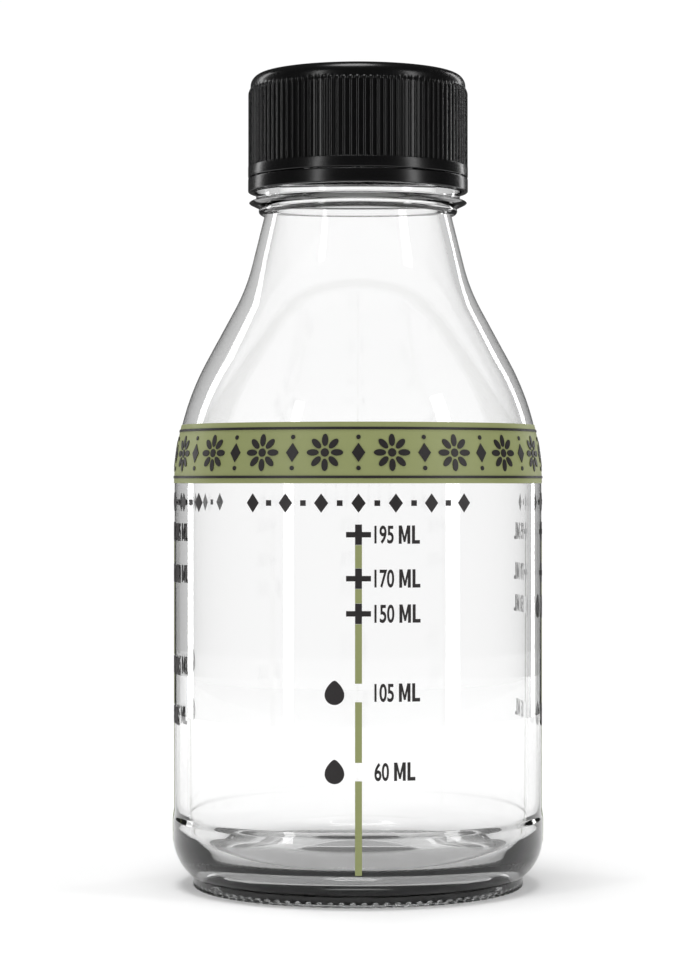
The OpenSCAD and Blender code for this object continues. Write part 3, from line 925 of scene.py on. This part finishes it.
class BOTTLE_OT_band(bpy.types.Operator):
    """Lays the green band round the top of the body, and its dark ornament over it"""

    bl_idname = "bottle.band"
    bl_label = "Printed Band"

    def execute(self, context):
        s = context.scene.shaker_print
        glass = Glass(context.scene.shaker_glass)
        band = Plates(glass, s)
        band.ring(s.band_z, s.band_z + s.band_h, 256)
        finish_piece("green_band", band.whole, "bottle", ["band_print"], green_ink(s))

        ornament = Plates(glass, s, layer=2)
        inset, border = 0.9 * MM, 0.45 * MM
        ornament.ring(s.band_z + inset, s.band_z + inset + border)
        ornament.ring(s.band_z + s.band_h - inset - border, s.band_z + s.band_h - inset)
        repeats, petals = 18, 8
        petal_w, petal_h, petal_y = 1.15 * MM, 2.2 * MM, 2.2 * MM
        heart, dot, dot_y = 1.5 * MM, 0.8 * MM, 2.75 * MM
        lozenge_w, lozenge_h = 2.4 * MM, 3.4 * MM
        middle = s.band_z + s.band_h / 2
        for i in range(repeats):
            angle = 360 * i / repeats
            for k in range(petals):
                petal = disc(petal_w, petal_h, petal_y, WHOLE_TURN * k / petals)
                ornament.lay(petal, angle, middle)
            ornament.lay(disc(heart, heart), angle, middle)
            between = angle + 180 / repeats
            ornament.lay(lozenge(lozenge_w, lozenge_h), between, middle)
            for side in (-1, 1):
                ornament.lay(disc(dot, dot, side * dot_y), between, middle)
        finish_piece(
            "band_ornament", ornament.whole, "bottle", ["band_rosettes"], dark_ink(s)
        )
        return {"FINISHED"}


class BOTTLE_OT_gauge(bpy.types.Operator):
    """Lays the gauge's lines, crosses, drops, numbers and heading rules"""

    bl_idname = "bottle.gauge"
    bl_label = "Printed Gauge"

    def execute(self, context):
        s = context.scene.shaker_print
        glass = Glass(context.scene.shaker_glass)
        lines, crosses, drops, numbers, rules = (Plates(glass, s) for _ in range(5))
        gap_h = 3.25 * MM
        drop_x, digits_x = -4.25 * MM, 2.8 * MM
        bar_h = 0.97 * MM
        # Where the heel curves, the line goes in short pieces
        piece_h = 2 * MM
        # The heading rule, its lozenges and squares a step in degrees apart
        heading_z, rule_step = s.band_z - 3.5 * MM, 5.5
        rule_h = 3.4 * MM
        lozenge_w, square = 0.75 * rule_h, 0.3 * rule_h
        for angle, cross_levels, drop_levels, heading in COLUMNS:
            stops = [(glass.fill_z(ml), s.cross_h / 2 + s.skin) for ml in cross_levels]
            stops += [(glass.fill_z(ml), gap_h / 2) for ml in drop_levels]
            stops.sort(reverse=True)
            for (z, half), (next_z, next_half) in zip(stops, stops[1:] + [(s.line_low_z, 0)]):
                top, low = z - half, next_z + next_half
                pieces = max(1, round((top - low) / piece_h)) if low < glass.contact_top_z else 1
                for i in range(pieces):
                    h = (top - low) / pieces
                    lines.lay(oblong(s.line_w, h), angle, low + h * (i + 0.5))
            for ml in cross_levels:
                crosses.lay(cross(s.cross_w, s.cross_h, bar_h, s.line_w), angle, glass.fill_z(ml))
            for ml in drop_levels:
                drops.lay(drop(s.drop_w, s.drop_h, drop_x), angle, glass.fill_z(ml))
            for ml in cross_levels + drop_levels:
                numbers.lay(amount(str(ml), s.digit_h, digits_x), angle, glass.fill_z(ml))
            count = int(heading / rule_step)
            for i in range(-count, count + 1):
                even = (i + count) % 2 == 0
                shape = lozenge(lozenge_w, rule_h) if even else oblong(square, square)
                rules.lay(shape, angle + i * rule_step, heading_z)
        finish_piece("gauge_line", lines.whole, "bottle", ["gauge_lines"], green_ink(s))
        for name, plates, nodes in (
            ("gauge_cross", crosses, ["gauge_crosses"]),
            ("gauge_drop", drops, ["gauge_drops"]),
            ("gauge_number", numbers, []),
            ("heading_rule", rules, ["heading_rules"]),
        ):
            finish_piece(name, plates.whole, "bottle", nodes, dark_ink(s))
        return {"FINISHED"}


class BOTTLE_OT_stage(bpy.types.Operator):
    """Makes the pale floor, the studio light and the camera"""

    bl_idname = "bottle.stage"
    bl_label = "Stage"

    def execute(self, context):
        s = context.scene.shaker_stage
        self.floor()
        self.surroundings(context.scene)
        self.sun(power=1.4, spread=26)
        for name, (place, size, power) in SOFTBOXES.items():
            self.softbox(name, place, size, power)
        view = bpy.data.cameras.new("camera")
        view.lens = s.lens
        view.sensor_width = 36
        view.clip_start, view.clip_end = 0.01, 20
        camera = bpy.data.objects.new("camera", view)
        camera.location = (-s.aside, -s.distance, s.eye_z)
        camera.rotation_euler = (RIGHT_ANGLE, 0, 0)
        context.scene.collection.objects.link(camera)
        context.scene.camera = camera
        context.scene.view_settings.view_transform = "Standard"
        return {"FINISHED"}

    def floor(self):
        """A plain pale floor, a disc that ends outside the camera's view."""
        radius, pale = 0.4, 0.93
        bm = bmesh.new()
        bmesh.ops.create_circle(bm, cap_ends=True, segments=128, radius=radius)
        mesh = bpy.data.meshes.new("floor")
        bm.to_mesh(mesh)
        bm.free()
        n = Nodes("floor")
        n.shader.inputs["Base Color"].default_value = (pale, pale, pale, 1)
        n.shader.inputs["Roughness"].default_value = 0.9
        n.shader.inputs["Specular IOR Level"].default_value = 0
        mesh.materials.append(n.material)
        floor = bpy.data.objects.new("floor", mesh)
        bpy.context.scene.collection.objects.link(floor)

    def surroundings(self, scene):
        """White where it is seen, and dimmer where a gloss or an inner reflection leads to it."""
        seen, lit, reflected = 1.02, 0.5, 0.06
        # Seen through the glass: a strength, and the share of it that is left after an inner reflection
        through, kept = 1.06, 0.72
        # What reaches the floor and the ink, once the way to them has crossed this many surfaces of glass
        crossings, lit_through = 4.5, 0.9
        world = bpy.data.worlds.new("surroundings")
        scene.world = world
        world.use_nodes = True
        world.cycles.sampling_method = "NONE"
        tree = world.node_tree
        backdrop = tree.nodes["Background"]
        backdrop.inputs["Color"].default_value = (1, 1, 1, 1)
        path = tree.nodes.new("ShaderNodeLightPath").outputs
        crossed = self.number(tree, "GREATER_THAN", path["Transmission Depth"], crossings)
        inner = self.number(tree, "POWER", kept, path["Glossy Depth"])
        inner = self.number(tree, "MULTIPLY", through, inner)
        ambient = self.choose(tree, crossed, lit, lit_through)
        strength = self.choose(tree, path["Is Glossy Ray"], lit, reflected)
        strength = self.choose(tree, path["Is Transmission Ray"], strength, inner)
        strength = self.choose(tree, path["Diffuse Depth"], strength, ambient)
        strength = self.choose(tree, path["Is Camera Ray"], strength, seen)
        tree.links.new(strength, backdrop.inputs["Strength"])

    def number(self, tree, operation, *values):
        """A sum on two numbers, each a value or a socket."""
        node = tree.nodes.new("ShaderNodeMath")
        node.operation = operation
        for target, value in zip(node.inputs, values):
            self.feed(tree, target, value)
        return node.outputs[0]

    def choose(self, tree, question, otherwise, value):
        """The value where a question is true, and otherwise the other one; each is a value or a socket."""
        mix = tree.nodes.new("ShaderNodeMix")
        self.feed(tree, mix.inputs["Factor"], question)
        self.feed(tree, mix.inputs["A"], otherwise)
        self.feed(tree, mix.inputs["B"], value)
        return mix.outputs["Result"]

    def feed(self, tree, target, value):
        """Sets a socket to a value or links another to it."""
        if isinstance(value, bpy.types.NodeSocket):
            tree.links.new(value, target)
        else:
            target.default_value = value

    def sun(self, power, spread):
        """Broad even light from overhead, a little from the front left, its spread in degrees."""
        light = bpy.data.lights.new("overhead", "SUN")
        light.energy = power
        light.angle = math.radians(spread)
        sun = bpy.data.objects.new("overhead", light)
        sun.rotation_euler = (math.radians(6), math.radians(-3), 0)
        bpy.context.scene.collection.objects.link(sun)

    def softbox(self, name, place, size, power):
        """A softbox that looks at the middle of the bottle."""
        light = bpy.data.lights.new(name, "AREA")
        light.shape = "RECTANGLE"
        light.size, light.size_y = size
        light.energy = power
        box = bpy.data.objects.new(name, light)
        box.location = place
        middle = Vector((0, 0, 0.1))
        box.rotation_euler = (middle - Vector(place)).to_track_quat("-Z", "Y").to_euler()
        box.visible_camera = False
        box.visible_transmission = False
        bpy.context.scene.collection.objects.link(box)


class BOTTLE_PT_panel(bpy.types.Panel):
    """Lists the bottle's pieces and their sizes"""

    bl_label = "Dressing Shaker Bottle"
    bl_idname = "BOTTLE_PT_panel"
    bl_space_type = "VIEW_3D"
    bl_region_type = "UI"
    bl_category = "Bottle"

    def draw(self, context):
        for name in SETTINGS:
            box = self.layout.box()
            settings = getattr(context.scene, name)
            for key in settings.bl_rna.properties.keys():
                if key not in {"rna_type", "name"}:
                    box.prop(settings, key)
        for operator in OPERATORS:
            self.layout.operator(operator.bl_idname)


SETTINGS = {
    "shaker_glass": GlassSettings,
    "shaker_cap": CapSettings,
    "shaker_print": PrintSettings,
    "shaker_stage": StageSettings,
}
OPERATORS = (
    BOTTLE_OT_glass,
    BOTTLE_OT_cap,
    BOTTLE_OT_liner,
    BOTTLE_OT_tamper_ring,
    BOTTLE_OT_band,
    BOTTLE_OT_gauge,
    BOTTLE_OT_stage,
)


def register():
    for name, settings in SETTINGS.items():
        bpy.utils.register_class(settings)
        setattr(bpy.types.Scene, name, PointerProperty(type=settings))
    for operator in OPERATORS:
        bpy.utils.register_class(operator)
    bpy.utils.register_class(BOTTLE_PT_panel)


def unregister():
    bpy.utils.unregister_class(BOTTLE_PT_panel)
    for operator in reversed(OPERATORS):
        bpy.utils.unregister_class(operator)
    for name, settings in SETTINGS.items():
        delattr(bpy.types.Scene, name)
        bpy.utils.unregister_class(settings)


def main():
    register()
    bpy.ops.bottle.glass()
    bpy.ops.bottle.cap()
    bpy.ops.bottle.liner()
    bpy.ops.bottle.tamper_ring()
    bpy.ops.bottle.band()
    bpy.ops.bottle.gauge()
    bpy.ops.bottle.stage()


if __name__ == "__main__":
    main()
